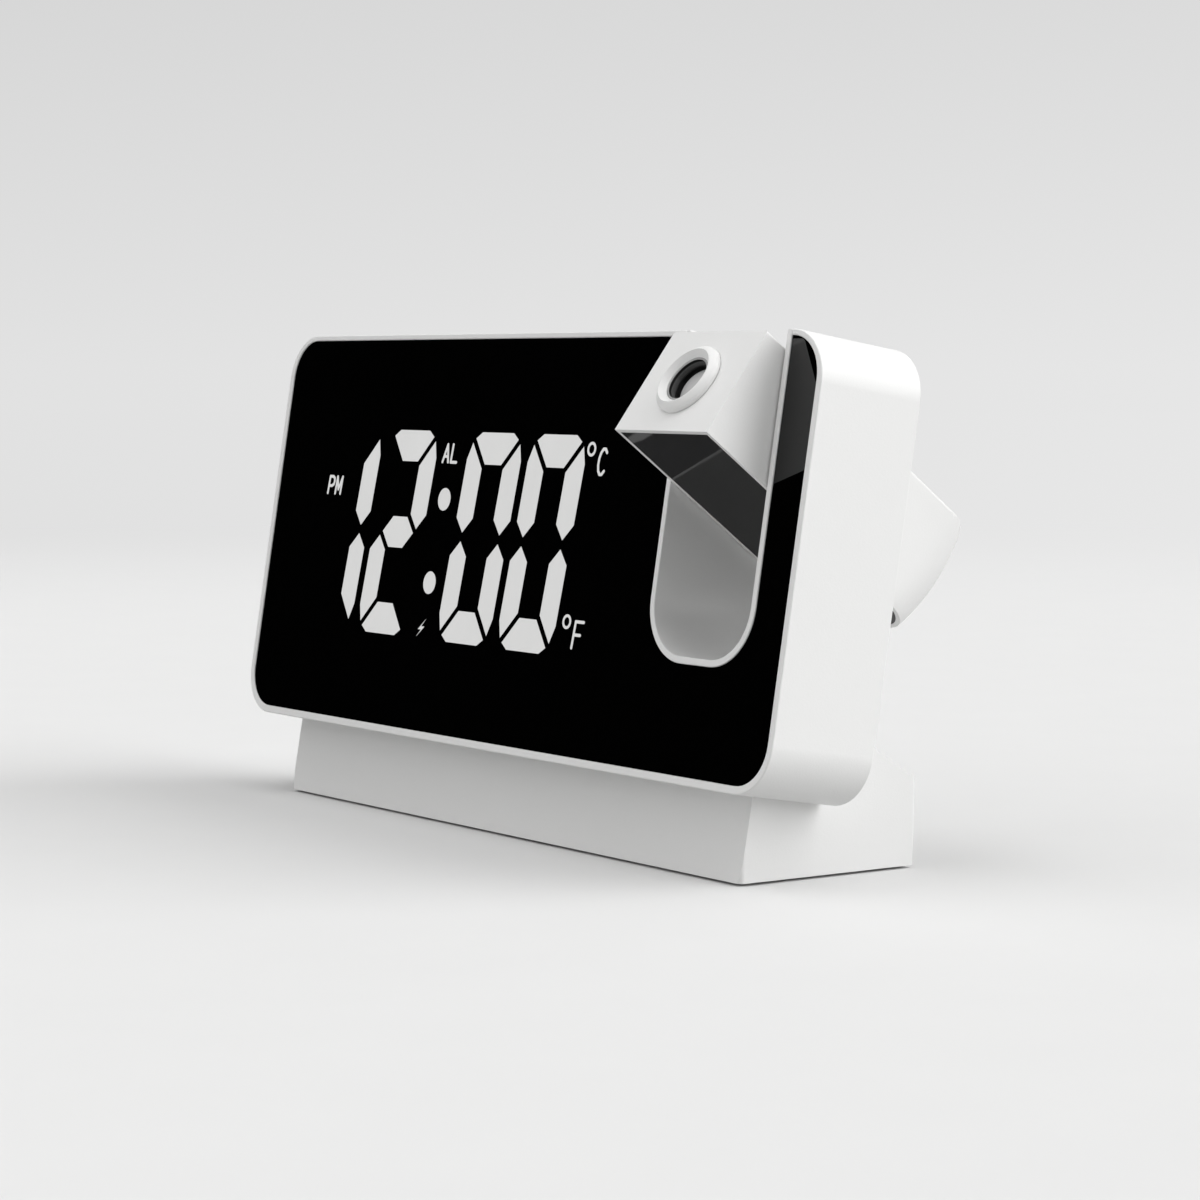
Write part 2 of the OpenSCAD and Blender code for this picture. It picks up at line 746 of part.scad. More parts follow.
module main_board() {
    color("darkgreen") leaned() difference() {
        slab(main_board_w, main_board_back) difference() {
            translate([main_board_x0, main_board_v0]) square(main_board_size);
            for (at = main_screws_at) translate(at) circle(screw_r + 0.2);
        }
        translate([port_x, main_board_w, usb_v])
            cube([usb_size[0] + 0.4, 4 * board_t, usb_size[1] + 0.4], center = true);
        slab(main_board_w - past, main_board_back + past) {
            port_outline(power_size + [0.4, 0.4]);
            translate([main_board_x1 - cable_notch, cable_foot])
                square([cable_notch + past, pivot_v + cable_r + past - cable_foot]);
        }
    }
}

module main_board_screws() {
    color("silver") leaned() for (at = main_screws_at) {
        rod(at[0], at[1], screw_r, main_board_w, cover_front - 0.5);
        rod(at[0], at[1], screw_head_r, main_board_w - screw_head_h, main_board_w);
    }
}

module control_chips() {
    // Each chip: its place as shares of the board, its width and its height
    chips = [[0.56, 0.49, 10, 10], [0.32, 0.6, 8, 5], [0.14, 0.25, 6, 5], [0.67, 0.22, 5, 4]];
    color([0.1, 0.1, 0.1]) leaned() for (c = chips) {
        at = on_board([c[0], c[1]]);
        translate([at[0] - c[2] / 2, main_board_back, at[1] - c[3] / 2]) cube([c[2], 1.4, c[3]]);
    }
}

module board_header() {
    at = on_board([0.36, 0.28]);
    color([0.15, 0.15, 0.15]) leaned() translate([at[0], display_board_back, at[1]])
        cube([20, main_board_w - display_board_back, 2.5]);
}

module button_switches() {
    color([0.2, 0.2, 0.2]) leaned() for (x = button_at) {
        translate([x - switch_side / 2, main_board_back, button_v - switch_side / 2])
            cube([switch_side, 1.6, switch_side]);
        rod(x, button_v, 1.7, main_board_back + 1, cover_front - 0.3 - button_flange_t
            - button_travel);
    }
}

module snooze_switches() {
    color([0.2, 0.2, 0.2]) leaned() for (side = [-1, 1]) {
        x = snooze_x + side * snooze_len / 5.5;
        translate([x - switch_side / 2, main_board_w - snooze_switch_t, main_board_v1 - 7])
            cube([switch_side, snooze_switch_t, 5]);
        translate([x, main_board_w - 2, main_board_v1 - 3])
            cylinder(r = 1.5, h = snooze_flange_top - snooze_flange_t - snooze_travel - 0.1
                         - main_board_v1 + 3);
    }
}

// The snooze bar's outline as a solid, grown by a distance
module snooze_shape(grow, foot, height) {
    half = snooze_w / 2 + grow;
    translate([snooze_x, snooze_w_mid, foot]) linear_extrude(height)
        round_rect(-snooze_len / 2 - grow, snooze_len / 2 + grow, -half, half, half - 0.01);
}

module snooze_bar() {
    color("white") leaned() {
        snooze_shape(0, snooze_flange_top - snooze_flange_t / 2,
                     body_h - snooze_flange_top + snooze_flange_t / 2);
        snooze_shape(1, snooze_flange_top - snooze_flange_t, snooze_flange_t);
    }
}

module rear_button(i) {
    flange = cover_front - 0.2 - button_flange_t;
    color("whitesmoke") leaned() {
        rod(button_at[i], button_v, button_flange_r, flange, flange + button_flange_t);
        rod(button_at[i], button_v, button_r, flange, body_d + button_out - 0.4);
        difference() {
            rod(button_at[i], button_v, button_r - 0.4, body_d, body_d + button_out);
            button_mark(i);
        }
    }
}

// A sunk sign on each button's face: bars, a bell's dot, arrows and a ring.
module button_mark(i) {
    translate([button_at[i], body_d + button_out + past - 0.25, button_v]) rotate([90, 0, 0])
        linear_extrude(past) {
            if (i == 0) for (v = [-1, 0, 1]) translate([-1.4, v - 0.2]) square([2.8, 0.4]);
            if (i == 1) circle(1.1);
            if (i == 2) polygon([[-1.3, 0.8], [1.3, 0.8], [0, -1.1]]);
            if (i == 3) polygon([[-1.3, -0.8], [1.3, -0.8], [0, 1.1]]);
            if (i == 4) difference() { circle(1.5); circle(0.9); }
        }
}

module mode_button() { rear_button(0); }
module alarm_button() { rear_button(1); }
module down_button() { rear_button(2); }
module up_button() { rear_button(3); }
module projector_button() { rear_button(4); }

module usb_output_shell() {
    color("silver") leaned() translate([port_x, 0, usb_v]) difference() {
        slab(usb_w0, body_d) square(usb_size, center = true);
        slab(usb_w0 + shell_t, body_d + past)
            square(usb_size - 2 * [shell_t, shell_t], center = true);
    }
}

module usb_output_tongue() {
    color([0.15, 0.15, 0.15]) leaned() translate([port_x, 0, usb_v])
        slab(usb_w0 + shell_t, body_d - 1) translate([-5.5, 0.2]) square([11, 1.9]);
}

module power_inlet_shell() {
    color("silver") leaned() difference() {
        slab(power_w0, body_d) port_outline(power_size);
        slab(power_w0 + shell_t, body_d + past) port_outline(power_size - 2 * [shell_t, shell_t] / 1.2);
    }
}

module power_inlet_tongue() {
    color([0.15, 0.15, 0.15]) leaned() translate([port_x, 0, power_v])
        slab(power_w0 + shell_t, body_d - 0.8) square([6.4, 0.7], center = true);
}

module buzzer() {
    at = on_board([0.19, 0.51]);
    color([0.1, 0.1, 0.1]) leaned() difference() {
        rod(at[0], at[1], 6, display_board_back + 0.4, main_board_w);
        rod(at[0], at[1], 1, display_board_back, display_board_back + 1.4);
    }
}

module cell_contacts() {
    color("gold") leaned() translate([cell_x, 0, cell_v]) {
        slab(cup_floor, cup_floor + 0.4) union() {
            circle(3);
            translate([-1.5, 0]) square([3, cell_r - 1]);
        }
        slab(cup_floor, cup_floor + 0.4) translate([-1.5, -cell_r + 1]) square([3, 4]);
    }
}

module backup_cell() {
    color("silver") leaned() {
        rod(cell_x, cell_v, cell_r, cup_floor + 0.4 + 0.5, cell_top);
        rod(cell_x, cell_v, cell_r - 1, cup_floor + 0.4, cell_top);
    }
}

module cell_door() {
    color("white") leaned() {
        difference() {
            rod(cell_x, cell_v, door_r, body_d - door_t, body_d);
            translate([cell_x, body_d, cell_v]) cube([14, 1.6, 1.8], center = true);
        }
        rod(cell_x, cell_v, door_r - 0.5, lug_w0, body_d - door_t);
        translate([cell_x, 0, cell_v]) slab(lug_w0, lug_w0 + lug_t) intersection() {
            circle(lug_r);
            square([2 * lug_r, 6], center = true);
        }
    }
}

module temperature_sensor() {
    color([0.1, 0.1, 0.1]) leaned() {
        rod(cell_x - 14, button_v, 1.4, cover_front - 1.6, cover_front);
        translate([cell_x - 14, cover_front - 0.8, button_v]) rotate([0, 90, 0])
            cylinder(r = 0.4, h = 5);
    }
}

// ---------------------------------------------------------------- base

module base_solid(outline, width, r) {
    y0 = min([for (p = outline) p[0]]);
    y1 = max([for (p = outline) p[0]]);
    intersection() {
        translate([-width / 2, 0, 0]) rotate([90, 0, 90]) linear_extrude(width) polygon(outline);
        linear_extrude(body_h) round_rect(-width / 2, width / 2, y0, y1, r);
    }
}

base_room = drawn_in(base_outline, base_wall);

module base_shell() {
    color("white") difference() {
        union() {
            difference() {
                base_solid(base_outline, base_w, base_r);
                base_solid(base_room, base_w - 2 * base_wall, base_r / 2);
                translate([-base_w / 2 + base_wall, base_room[0][0], 0])
                    cube([base_w - 2 * base_wall, base_room[1][0] - base_room[0][0],
                          foot_gap + base_wall + 0.01]);
            }
            intersection() {
                base_solid(drawn_in(base_outline, base_wall / 2), base_w - base_wall, base_r);
                for (x = base_cover_screws_x) translate([x, base_cover_screw_y, base_cover_top])
                    cylinder(r = boss_r, h = body_h);
            }
        }
        leaned() for (x = base_screws_at) translate([x, base_screw_w, -2 * base_wall])
            cylinder(r = screw_r + 0.2, h = 3 * base_wall);
        for (x = base_cover_screws_x) translate([x, base_cover_screw_y, 0])
            cylinder(r = screw_r + 0.05, h = base_cover_z + pad_seat + base_screw_len + 1);
    }
}

module base_cover() {
    color("white") difference() {
        translate([0, 0, base_cover_z]) linear_extrude(base_cover_t)
            round_rect(-base_w / 2 + base_cover_in, base_w / 2 - base_cover_in,
                       base_room[0][0] + fit_gap, base_room[1][0] - fit_gap, base_r / 2);
        linear_extrude(base_cover_z + pad_seat) pad_outline(fit_gap);
        for (x = base_cover_screws_x) translate([x, base_cover_screw_y, 0])
            cylinder(r = screw_r + 0.2, h = base_cover_top + past);
    }
}

module pad_outline(grow) {
    half_x = base_w / 2 - pad_inset + grow;
    half_y = base_d / 2 - pad_inset + grow;
    round_rect(-half_x, half_x, -half_y, half_y, 2 + grow);
}

module rubber_pad() {
    color([0.15, 0.15, 0.15]) linear_extrude(base_cover_z + pad_seat) difference() {
        pad_outline(0);
        for (x = base_cover_screws_x) translate([x, base_cover_screw_y])
            circle(screw_head_r + 0.4);
    }
}

module body_screws() {
    color("silver") leaned() for (x = base_screws_at) translate([x, base_screw_w, 0]) {
        translate([0, 0, -base_wall]) cylinder(r = screw_r, h = base_wall + 5.5);
        translate([0, 0, -base_wall - screw_head_h])
            cylinder(r = screw_head_r, h = screw_head_h);
    }
}

module base_cover_screws() {
    color("silver") for (x = base_cover_screws_x)
        translate([x, base_cover_screw_y, base_cover_z + pad_seat]) {
            cylinder(r = screw_r, h = base_screw_len);
            translate([0, 0, -screw_head_h]) cylinder(r = screw_head_r, h = screw_head_h);
        }
}

// ---------------------------------------------------------------- projector arm

// What the rounding of the arm's heel takes away, seen from the side and drawn in by a distance
module heel_waste(in) {
    r = arm_heel_r - in;
    back = arm_back - in;
    middle = [back - r, -sqrt(pow(arm_reach - arm_heel_r, 2) - pow(back - r, 2))];
    difference() {
        polygon([middle, [back + past, middle[1]], [back + past, -arm_reach - past],
                 (arm_reach + 2 * past) * unit(middle)]);
        translate(middle) circle(r);
    }
}

// The arm's outer form, drawn in by a distance: a straight upper part, and a lower end that is
// turned about the pivot so that it clears the channel's floor at every angle.
module arm_form(in) {
    half = arm_w / 2 - in;
    reach = arm_reach - in;
    r = arm_end_r - in;
    edge = max(arm_edge_r - in, 0.2);
    intersection() {
        linear_extrude(2 * arm_reach, center = true) union() {
            translate([-half, -arm_front + in])
                square([2 * half, arm_t - 2 * in - edge]);
            translate([-half + edge, 0]) square([2 * (half - edge), arm_back - in]);
            for (side = [-1, 1])
                translate([side * (half - edge), arm_back - in - edge]) circle(edge);
        }
        union() {
            translate([-half, -arm_front, 0]) cube([2 * half, arm_t, arm_top - in]);
            rotate([0, 90, 0]) rotate_extrude() {
                translate([0, -half]) square([reach - r, 2 * half]);
                translate([0, -half + r]) square([reach, 2 * (half - r)]);
                for (side = [-1, 1]) translate([reach - r, side * (half - r)]) circle(r);
            }
        }
        difference() {
            translate([-half, -arm_front, -2 * arm_reach])
                cube([2 * half, arm_t, 2 * arm_reach + arm_top - in]);
            rotate([90, 0, 90]) linear_extrude(2 * arm_w, center = true) heel_waste(in);
        }
    }
}

module arm_shell() {
    color("white") on_arm() difference() {
        union() {
            difference() {
                arm_form(0);
                difference() {
                    arm_form(arm_wall);
                    translate([-arm_w, -arm_front - past, -arm_reach - past])
                        cube([2 * arm_w, mirror_t + past, arm_reach + arm_top + 2 * past]);
                }
                intersection() {
                    arm_form(mirror_lip);
                    translate([0, -arm_front + mirror_t / 2, 0])
                        cube([arm_w, 3 * mirror_t, 4 * arm_reach], center = true);
                }
                mirror_pocket(fit_gap / 2);
            }
            translate([-5, lens_t + tunnel_side / 2, tunnel_foot])
                cube([10, arm_back - lens_t - tunnel_side / 2 - arm_wall / 2,
                      lcd_top - tunnel_foot]);
            for (at = projector_screws_at) translate([at[0], projector_board_t + board_t, at[1]])
                rotate([-90, 0, 0])
                    cylinder(r = boss_r - 0.4, h = arm_back - arm_wall / 2 - projector_board_t
                             - board_t);
        }
        translate([-arm_w, 0, 0]) rotate([0, 90, 0])
            cylinder(r = trunnion_r + bearing_gap, h = arm_w);
        rotate([0, 90, 0]) cylinder(r = pin_r + bearing_gap, h = arm_w);
        translate([0, lens_t, arm_top - 2 * arm_wall])
            cylinder(r = neck_r + bearing_gap, h = 4 * arm_wall);
        for (at = projector_screws_at) translate([at[0], projector_board_t, at[1]])
            rotate([-90, 0, 0]) cylinder(r = screw_r + 0.05, h = 5);
    }
}

// The mirror plate's form, grown by a gap and cut to its own thickness
module mirror_pocket(gap) {
    intersection() {
        arm_form_front(mirror_lip - gap);
        translate([-arm_w, -arm_front - past, -arm_reach - past])
            cube([2 * arm_w, mirror_t + past, arm_reach + arm_top + 2 * past]);
    }
}

// The arm's form drawn in from its sides and ends but not from its front
module arm_form_front(in) {
    half = arm_w / 2 - in;
    reach = arm_reach - in;
    r = arm_end_r - in;
    intersection() {
        union() {
            translate([-half, -arm_front - past, 0]) cube([2 * half, arm_t, arm_top - in]);
            rotate([0, 90, 0]) rotate_extrude() {
                translate([0, -half]) square([reach - r, 2 * half]);
                translate([0, -half + r]) square([reach, 2 * (half - r)]);
                for (side = [-1, 1]) translate([reach - r, side * (half - r)]) circle(r);
            }
        }
        translate([-half, -arm_front - past, -2 * arm_reach])
            cube([2 * half, arm_t, 2 * arm_reach + arm_top - in]);
    }
}

module mirror_plate() {
    color([0.1, 0.1, 0.1]) on_arm() intersection() {
        mirror_pocket(0);
        translate([-arm_w, -arm_front, -2 * arm_reach])
            cube([2 * arm_w, arm_t, 4 * arm_reach]);
    }
}

module hinge_trunnions() {
    inner = arm_w / 2 - arm_wall;
    flange_t = 1.2;
    left_end = channel_w / 2 + liner_wall + bearing_len + clip_t + 0.4;
    color("lightgray") on_arm() {
        difference() {
            union() {
                translate([-left_end, 0, 0]) rotate([0, 90, 0])
                    cylinder(r = trunnion_r, h = left_end - inner + 0.1);
                translate([-inner, 0, 0]) rotate([0, 90, 0])
                    cylinder(r = trunnion_r + 1.6, h = flange_t);
            }
            translate([-2 * left_end, 0, 0]) rotate([0, 90, 0])
                cylinder(r = trunnion_bore_r, h = 2 * left_end);
        }
        translate([inner - flange_t, 0, 0]) rotate([0, 90, 0])
            cylinder(r = pin_r + 1.6, h = flange_t);
        translate([inner - 0.1, 0, 0]) rotate([0, 90, 0])
            cylinder(r = pin_r, h = left_end - inner + 0.1);
    }
}

module hinge_washers() {
    color([0.2, 0.2, 0.2]) on_arm() for (side = [-1, 1]) {
        shaft = side < 0 ? trunnion_r : pin_r;
        translate([side * (arm_w / 2 + washer_t / 2), 0, 0]) rotate([0, 90, 0]) difference() {
            cylinder(r = shaft + 2.2, h = washer_t, center = true);
            cylinder(r = shaft + bearing_gap, h = 3 * washer_t, center = true);
        }
    }
}

module hinge_clips() {
    place = channel_w / 2 + liner_wall + bearing_len + 0.15;
    color("silver") on_arm() for (side = [-1, 1]) {
        shaft = side < 0 ? trunnion_r : pin_r;
        translate([side * (place + clip_t / 2), 0, 0]) rotate([0, 90, 0]) difference() {
            cylinder(r = shaft + 1.4, h = clip_t, center = true);
            cylinder(r = shaft + 0.02, h = 3 * clip_t, center = true);
            translate([0, shaft + 1, 0]) cube([1.6, 3, 3 * clip_t], center = true);
        }
    }
}

module light_tunnel() {
    room = tunnel_side - 2 * tunnel_wall;
    color([0.12, 0.12, 0.12]) on_lens() difference() {
        translate([0, 0, (tunnel_foot + lcd_top) / 2])
            cube([tunnel_side, tunnel_side, lcd_top - tunnel_foot], center = true);
        translate([-room / 2, -room / 2, tunnel_foot - past])
            cube([room, room, lcd_top - tunnel_foot + 2 * past]);
    }
}

module led_board() {
    color("darkgreen") on_lens() translate([-tunnel_side / 2, -tunnel_side / 2,
                                            tunnel_foot - led_board_t])
        cube([tunnel_side, tunnel_side, led_board_t]);
}

module projector_led() {
    color("lightyellow") on_lens() {
        translate([-1.75, -1.75, tunnel_foot]) cube([3.5, 3.5, 0.8]);
        translate([0, 0, tunnel_foot + 0.8]) intersection() {
            sphere(r = 1.3);
            cylinder(r = 2, h = 2);
        }
    }
}

module condenser_lens() {
    room = tunnel_side - 2 * tunnel_wall;
    foot = tunnel_foot + 3.2;
    color([0.8, 0.85, 0.9, 0.5]) on_lens() {
        translate([-room / 2, -room / 2, foot]) cube([room, room, 1]);
        intersection() {
            translate([0, 0, foot + 1]) cylinder(r = condenser_r, h = condenser_t);
            translate([0, 0, foot + condenser_t - 7]) sphere(r = 7);
        }
    }
}

module projection_lcd() {
    room = tunnel_side - 2 * tunnel_wall;
    color([0.15, 0.16, 0.2]) on_lens() translate([-room / 2, -room / 2, lcd_top - lcd_t])
        cube([room, room, lcd_t]);
}

// Projector board, across the arm and down from its pivot
projector_board_t = arm_back - arm_wall - 4;
projector_board_half = arm_w / 2 - arm_wall - 3.2;
projector_board_top = tunnel_foot - led_board_t - 0.8;
projector_board_foot = 8 - arm_reach;
projector_screws_at = [[3 - projector_board_half, projector_board_foot + 3],
                       [projector_board_half - 3, projector_board_top - 3]];

module projector_board() {
    color("darkgreen") on_arm() difference() {
        translate([-projector_board_half, projector_board_t, projector_board_foot])
            cube([2 * projector_board_half, board_t, projector_board_top - projector_board_foot]);
        for (at = projector_screws_at) translate([at[0], projector_board_t - past, at[1]])
            rotate([-90, 0, 0]) cylinder(r = screw_r + 0.2, h = board_t + 2 * past);
    }
}

module projector_board_screws() {
    color("silver") on_arm() for (at = projector_screws_at)
        translate([at[0], projector_board_t, at[1]]) rotate([-90, 0, 0]) {
            cylinder(r = screw_r, h = board_t + 2.6);
            translate([0, 0, -screw_head_h]) cylinder(r = screw_head_r, h = screw_head_h);
        }
}

module lens_barrel() {
    color([0.05, 0.05, 0.05]) on_lens() difference() {
        translate([0, 0, barrel_foot]) cylinder(r = barrel_r, h = barrel_len);
        translate([0, 0, barrel_foot - past]) cylinder(r = lens_r - 0.5, h = barrel_len + 2 * past);
        translate([0, 0, barrel_top - lens_depth]) cylinder(r = lens_r + 0.02, h = 4);
        for (i = [1 : 3]) translate([0, 0, barrel_top - lens_depth + 0.2 + 0.8 * i])
            cylinder(r = lens_r + i * baffle_step, h = 4);
    }
}

module projection_lens() {
    edge = barrel_top - lens_depth;
    bulge = 9;
    color([0.6, 0.65, 0.7, 0.5]) on_lens() intersection() {
        translate([0, 0, edge]) cylinder(r = lens_r, h = 2.4);
        translate([0, 0, edge + 2.4 - bulge]) sphere(r = bulge);
    }
}

module focus_ring() {
    top = arm_top + ring_h;
    color("white") on_lens() rotate_extrude() difference() {
        union() {
            polygon([[0, arm_top + 0.1], [ring_r, arm_top + 0.1], [ring_r, arm_top + 0.4],
                     [ring_mouth_r + 2 * ring_land, top - ring_land],
                     [ring_mouth_r + ring_land, top], [0, top]]);
            translate([0, ring_foot]) square([neck_r, arm_top + 0.5 - ring_foot]);
            translate([0, ring_foot]) square([ring_flange_r, ring_flange_t]);
        }
        translate([-1, ring_foot - past]) square([1 + ring_bore_r, top - ring_foot + 2 * past]);
        polygon([[0, top + past], [ring_mouth_r, top + past], [ring_mouth_r, top],
                 [ring_bore_r, barrel_top + 0.1], [0, barrel_top + 0.1]]);
    }
}

// ---------------------------------------------------------------- wiring

// A lead runs up from a plug on the main board and turns into the left trunnion along its axis.
module projector_cable() {
    run_x = main_board_x1 - cable_notch / 2 + 0.5;
    plug = [4, main_board_w - pivot_w + 2, 4];
    color([0.2, 0.2, 0.2]) leaned() {
        translate([run_x, pivot_w, cable_foot])
            cylinder(r = cable_r, h = pivot_v - cable_bend - cable_foot);
        translate([run_x + cable_bend, pivot_w, pivot_v - cable_bend]) rotate([90, 0, 180])
            rotate_extrude(angle = 90) translate([cable_bend, 0]) circle(cable_r);
        translate([run_x + cable_bend, pivot_w, pivot_v]) rotate([0, 90, 0])
            cylinder(r = cable_r, h = channel_x - arm_w / 2 + 5 - run_x - cable_bend);
        translate([main_board_x1 - plug[0], main_board_w - plug[1], cable_foot - plug[2]])
            cube(plug);
    }
}

// ---------------------------------------------------------------- the parts by name

main_housing();
display_window();
hour_segments();
colon_dots();
minute_segments();
status_icons();
segment_reflector();
display_board();
display_leds();
display_screws();
channel_liner();
rear_cover();
rear_screws();
main_board();
main_board_screws();
control_chips();
board_header();
button_switches();
snooze_switches();
snooze_bar();
mode_button();
alarm_button();
down_button();
up_button();
projector_button();
usb_output_shell();
usb_output_tongue();
power_inlet_shell();
power_inlet_tongue();
buzzer();
cell_contacts();
backup_cell();
cell_door();
temperature_sensor();
base_shell();
base_cover();
body_screws();
base_cover_screws();
rubber_pad();
projector_cable();
arm_shell();
mirror_plate();
hinge_trunnions();
hinge_washers();
hinge_clips();
light_tunnel();
led_board();
projector_led();
condenser_lens();
projection_lcd();
projector_board();
projector_board_screws();
lens_barrel();
projection_lens();
focus_ring();
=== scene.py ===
"""Looks of the projection alarm clock: white moulded shells, a black mirror window with lit digits,
and a projector arm with its focus ring, all laid over the clock's own parts."""

import json
import math

import bmesh
import bpy
from mathutils import Matrix, Vector


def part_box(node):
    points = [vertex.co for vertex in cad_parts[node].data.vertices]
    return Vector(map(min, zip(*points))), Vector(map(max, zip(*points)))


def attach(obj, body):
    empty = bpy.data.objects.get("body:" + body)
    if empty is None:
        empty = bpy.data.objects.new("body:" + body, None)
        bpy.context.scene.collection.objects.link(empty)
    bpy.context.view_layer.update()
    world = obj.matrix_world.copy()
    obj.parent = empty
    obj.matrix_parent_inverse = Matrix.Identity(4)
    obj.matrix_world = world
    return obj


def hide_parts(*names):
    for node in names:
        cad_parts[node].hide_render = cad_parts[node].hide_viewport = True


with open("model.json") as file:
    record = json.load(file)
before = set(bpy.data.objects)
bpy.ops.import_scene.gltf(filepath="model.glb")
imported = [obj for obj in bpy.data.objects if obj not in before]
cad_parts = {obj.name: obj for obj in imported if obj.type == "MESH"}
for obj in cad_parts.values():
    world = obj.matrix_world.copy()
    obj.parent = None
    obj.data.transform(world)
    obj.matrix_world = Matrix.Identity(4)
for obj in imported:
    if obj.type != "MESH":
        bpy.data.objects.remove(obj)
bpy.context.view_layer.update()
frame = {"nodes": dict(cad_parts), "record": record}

MM = 0.001

# ---------------------------------------------------------------- where the clock's parts stand
# Lengths are in millimetres. BODY has its X across the face, its Y towards the back and its Z up
# the leaning face. ARM and LENS have their Z along the lens's axis, and ARM turns about its own X.

LEAN, ARM_TILT = math.radians(9.34), math.radians(62.16)
BODY_FRONT, BODY_FOOT = -24.05, 17.11  # where the face's lower edge lies, along Y and over the table
BODY_D, BODY_H = 22.8, 82.0
SNOOZE_SLOT = 5.0, 18.0
ARM_AXIS = Vector((66.95, 13.69, 62.18))
ARM_FRONT, ARM_TOP = -13.54, 24.3
LENS_AT = -2.64  # where the lens's axis lies along ARM's Y

BODY = Matrix.Translation((0, BODY_FRONT * MM, BODY_FOOT * MM)) @ Matrix.Rotation(-LEAN, 4, "X")
ARM = BODY @ Matrix.Translation(ARM_AXIS * MM) @ Matrix.Rotation(ARM_TILT, 4, "X")
LENS = ARM @ Matrix.Translation((0, LENS_AT * MM, 0))
IN_BODY, IN_ARM = BODY.inverted(), ARM.inverted()

# ---------------------------------------------------------------- finishes


class Link:
    """A node's output. Sums and products of links and numbers add their Math nodes."""

    def __init__(self, finish, socket):
        self.finish, self.socket = finish, socket

    def maths(self, operation, *values):
        return self.finish.node("Math", {"operation": operation}, dict(enumerate(values)))

    def __add__(self, other):
        return self.maths("ADD", self, other)

    def __sub__(self, other):
        return self.maths("SUBTRACT", self, other)

    def __mul__(self, other):
        return self.maths("MULTIPLY", self, other)

    def __truediv__(self, other):
        return self.maths("DIVIDE", self, other)


class Finish:
    """A material made of one Principled shader and the nodes that vary it over the surface."""

    def __init__(self, name, tree=None, **plain):
        if tree is None:
            self.material = bpy.data.materials.new(name)
            self.material.use_nodes = True
            tree = self.material.node_tree
        self.tree = tree
        self.shader = next((n for n in tree.nodes if n.type == "BSDF_PRINCIPLED"), None)
        for words, value in plain.items():
            self.shader.inputs[words.replace("_", " ")].default_value = value

    def node(self, kind, settings=None, inputs=None, output=0):
        made = self.tree.nodes.new("ShaderNode" + kind)
        for name, value in (settings or {}).items():
            if name == "stops":
                stops = made.color_ramp.elements
                for i, (place, colour) in enumerate(value):
                    stop = stops[i] if i < 2 else stops.new(place)
                    stop.position, stop.color = place, (*colour, 1)
            else:
                setattr(made, name, value)
        for name, value in (inputs or {}).items():
            self.set(made.inputs[name], value)
        return Link(self, made.outputs[output])

    def set(self, socket, value):
        if isinstance(value, Link):
            self.tree.links.new(value.socket, socket)
        elif hasattr(value, "__len__") and socket.type == "RGBA":
            socket.default_value = (*value, 1) if len(value) == 3 else value
        else:
            socket.default_value = value

    def drive(self, name, value):
        self.set(self.shader.inputs[name], value)
        return self

    def spot(self, scale=None):
        """The point on the surface, in metres, or stretched by a scale for each axis."""
        spot = self.node("TexCoord", output="Object")
        return self.node("Mapping", None, {"Vector": spot, "Scale": scale}) if scale else spot

    def noise(self, scale, detail=2.0, rough=0.5, where=None):
        """Soft noise from 0 to 1; scale is in patches for each metre."""
        return self.node("TexNoise", {"normalize": True},
                         {"Vector": where or self.spot(), "Scale": scale, "Detail": detail,
                          "Roughness": rough}, "Fac")

    def blend(self, factor, first, second):
        """A colour from first to second as factor goes from 0 to 1."""
        return self.node("Mix", {"data_type": "RGBA"}, {0: factor, 6: first, 7: second}, 2)

    def ramp(self, factor, stops):
        """A colour that changes evenly between stops, each a place from 0 to 1 and a grey."""
        stops = [(place, (grey, grey, grey)) for place, grey in stops]
        return self.node("ValToRGB", {"stops": stops}, {"Fac": factor}, "Color")

    def span(self, value, start, end, low, high, curve="LINEAR"):
        """A value that goes from low to high as another goes from start to end."""
        return self.node("MapRange", {"clamp": True, "interpolation_type": curve},
                         {"Value": value, 1: start, 2: end, 3: low, 4: high}, "Result")

    def vector(self, operation, first, second=None, output="Vector"):
        inputs = {0: first} if second is None else {0: first, 1: second}
        return self.node("VectorMath", {"operation": operation}, inputs, output)

    def bump(self, height, depth):
        return self.drive("Normal", self.node("Bump", None, {"Height": height, "Strength": 1.0,
                                                             "Distance": depth}, "Normal"))


def shade(colour, factor):
    return [part * factor for part in colour]


def moulded(name, light, dark, rough, **plain):
    """Moulded plastic: a slow drift of colour, satin that varies, and the mould's fine grain."""
    made = Finish(name, **plain)
    made.drive("Base Color", made.blend(made.noise(22, 3), dark, light))
    made.drive("Roughness", made.noise(160, 4) * 0.1 + (rough - 0.05))
    return made.bump(made.noise(2600, 3, 0.6), 0.02 * MM)


def glossy_sheet(name, colour, rough, **plain):
    """Polished sheet: wiping marks that show only in its gloss."""
    made = Finish(name, **plain)
    made.drive("Base Color", made.blend(made.noise(60), colour, shade(colour, 1.5)))
    streaks = made.noise(1, 4, 0.6, made.spot(scale=(30, 30, 240)))
    return made.drive("Roughness", streaks * 0.02 + rough)


def lit_plastic(name):
    """Lit diffuser: brighter over its lamps, with a faint streak from moulding."""
    made = Finish(name, Base_Color=(0.2, 0.2, 0.2, 1), Roughness=0.25, Emission_Strength=1.0)
    patches = made.noise(90, 2)
    streak = made.noise(1, 2, 0.5, made.spot(scale=(160, 40, 20)))
    glow = patches * 0.5 + streak * 0.5
    return made.drive("Emission Color", made.blend(glow, (0.49, 0.49, 0.485), (0.57, 0.57, 0.565)))


